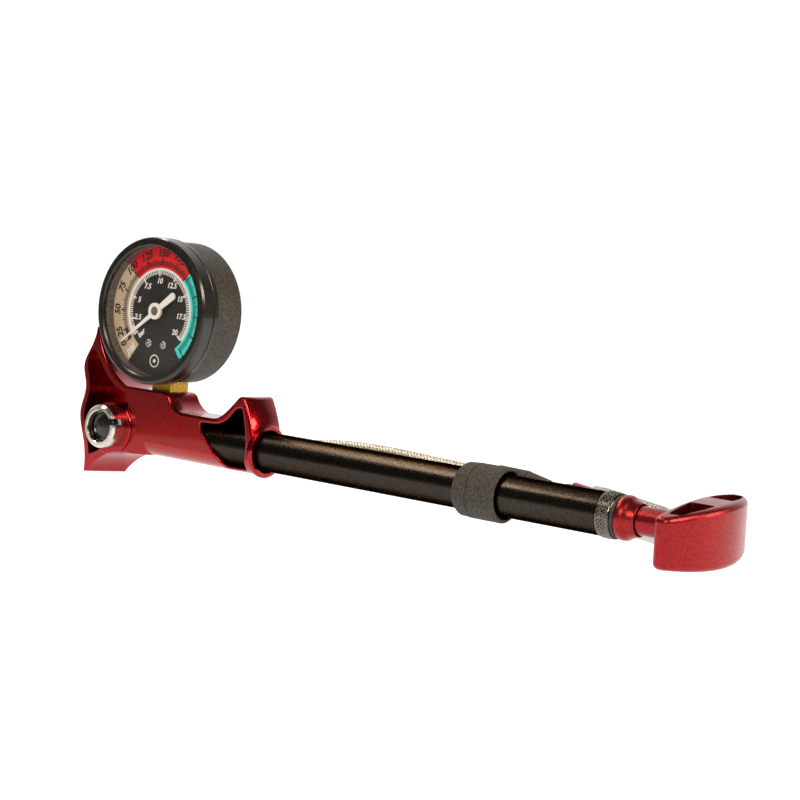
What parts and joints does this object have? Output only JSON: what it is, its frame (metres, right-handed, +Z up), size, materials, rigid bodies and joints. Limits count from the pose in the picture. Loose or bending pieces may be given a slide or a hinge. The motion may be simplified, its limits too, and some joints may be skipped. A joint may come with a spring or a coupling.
{
  "type": "hand pump",
  "caption": "Slim high-pressure hand pump with a two-inch dial gauge, finger-slot T-handle, bleed button and a braided hose with valve chuck.",
  "frame": {"origin": "on the surface the pump stands on, below the middle of its length and width (hose and chuck not counted)", "axes": "+X along the barrel towards the T-handle, +Z up through the gauge, the dial faces -Y"},
  "size_m": [0.2706, 0.0494, 0.09],
  "materials": {
    "red_anodised": "gloss",
    "black_anodised": "gloss",
    "silver_metal": "satin",
    "aluminium_inner": "satin",
    "black_plastic": "satin",
    "rubber": "matte",
    "steel": "polished",
    "brass": "satin",
    "braid": "woven",
    "dial_face": "satin",
    "needle_white": "satin",
    "clear_lens": "clear"
  },
  "bodies": {
    "pump": {"pump_head": "red_anodised", "chuck_body": "red_anodised", "barrel": "black_anodised", "end_cap": "black_anodised", "swivel_bolt": "black_anodised", "bleed_collar": "silver_metal", "hose_swivel": "silver_metal", "hose_ferrule": "silver_metal", "gauge_case": "black_plastic", "gauge_bezel": "black_plastic", "lens_spacer": "black_plastic", "hose_band": "rubber", "bumper_ring": "rubber", "chuck_seal": "rubber", "bleed_spring": "steel", "check_spring": "steel", "chuck_pin": "steel", "dial_screws": "steel", "gauge_stem": "brass", "bourdon_tube": "brass", "movement_plates": "brass", "check_seat": "brass", "rod_bushing": "brass", "hose": "braid", "gauge_dial": "dial_face", "gauge_lens": "clear_lens"},
    "piston_ring": {"piston_seal": "rubber"},
    "plunger": {"piston": "aluminium_inner", "piston_rod": "steel", "t_handle": "red_anodised"},
    "bleed_valve": {"bleed_button": "black_plastic", "bleed_stem": "steel"},
    "needle": {"gauge_needle": "needle_white", "needle_spindle": "brass"},
    "sector": {"sector_gear": "brass"},
    "check_ball_body": {"check_ball": "steel"},
    "chuck_nut_body": {"chuck_nut": "silver_metal"}
  },
  "joints": [
    {"name": "plunger_slide", "type": "slide", "parent": "pump", "child": "piston_ring", "axis": [1, 0, 0], "range_m": [0, 0.148]},
    {"name": "handle_spin", "type": "hinge", "parent": "piston_ring", "child": "plunger", "pos_m": [0.128, 0, 0.0185], "axis": [1, 0, 0], "continuous": true},
    {"name": "bleed_press", "type": "slide", "parent": "pump", "child": "bleed_valve", "axis": [0, 1, 0], "range_m": [0, 0.0016], "stiffness_N_per_m": 1200, "springref_m": -0.001, "deforming": ["bleed_spring"]},
    {"name": "sector_turn", "type": "hinge", "parent": "pump", "child": "sector", "pos_m": [-0.09765, -0.0033, 0.0521], "axis": [0, 1, 0], "range_deg": [-38.14, 0], "stiffness_Nm_per_rad": 0.02, "springref_deg": 2.86},
    {"name": "needle_turn", "type": "hinge", "parent": "pump", "child": "needle", "pos_m": [-0.09765, -0.0033, 0.0633], "axis": [0, 1, 0], "range_deg": [0, 267]},
    {"name": "check_lift", "type": "slide", "parent": "pump", "child": "check_ball_body", "axis": [-1, 0, 0], "range_m": [0, 0.0007], "stiffness_N_per_m": 120, "springref_m": -0.001, "deforming": ["check_spring"]},
    {"name": "chuck_nut_spin", "type": "hinge", "parent": "pump", "child": "chuck_nut_body", "pos_m": [0.10348, 0.01568, 0.01563], "axis": [0.9856, 0.0939, -0.1408], "continuous": true}
  ],
  "couplings": [
    {"joint": "needle_turn", "follows": "sector_turn", "ratio": -7}
  ]
}
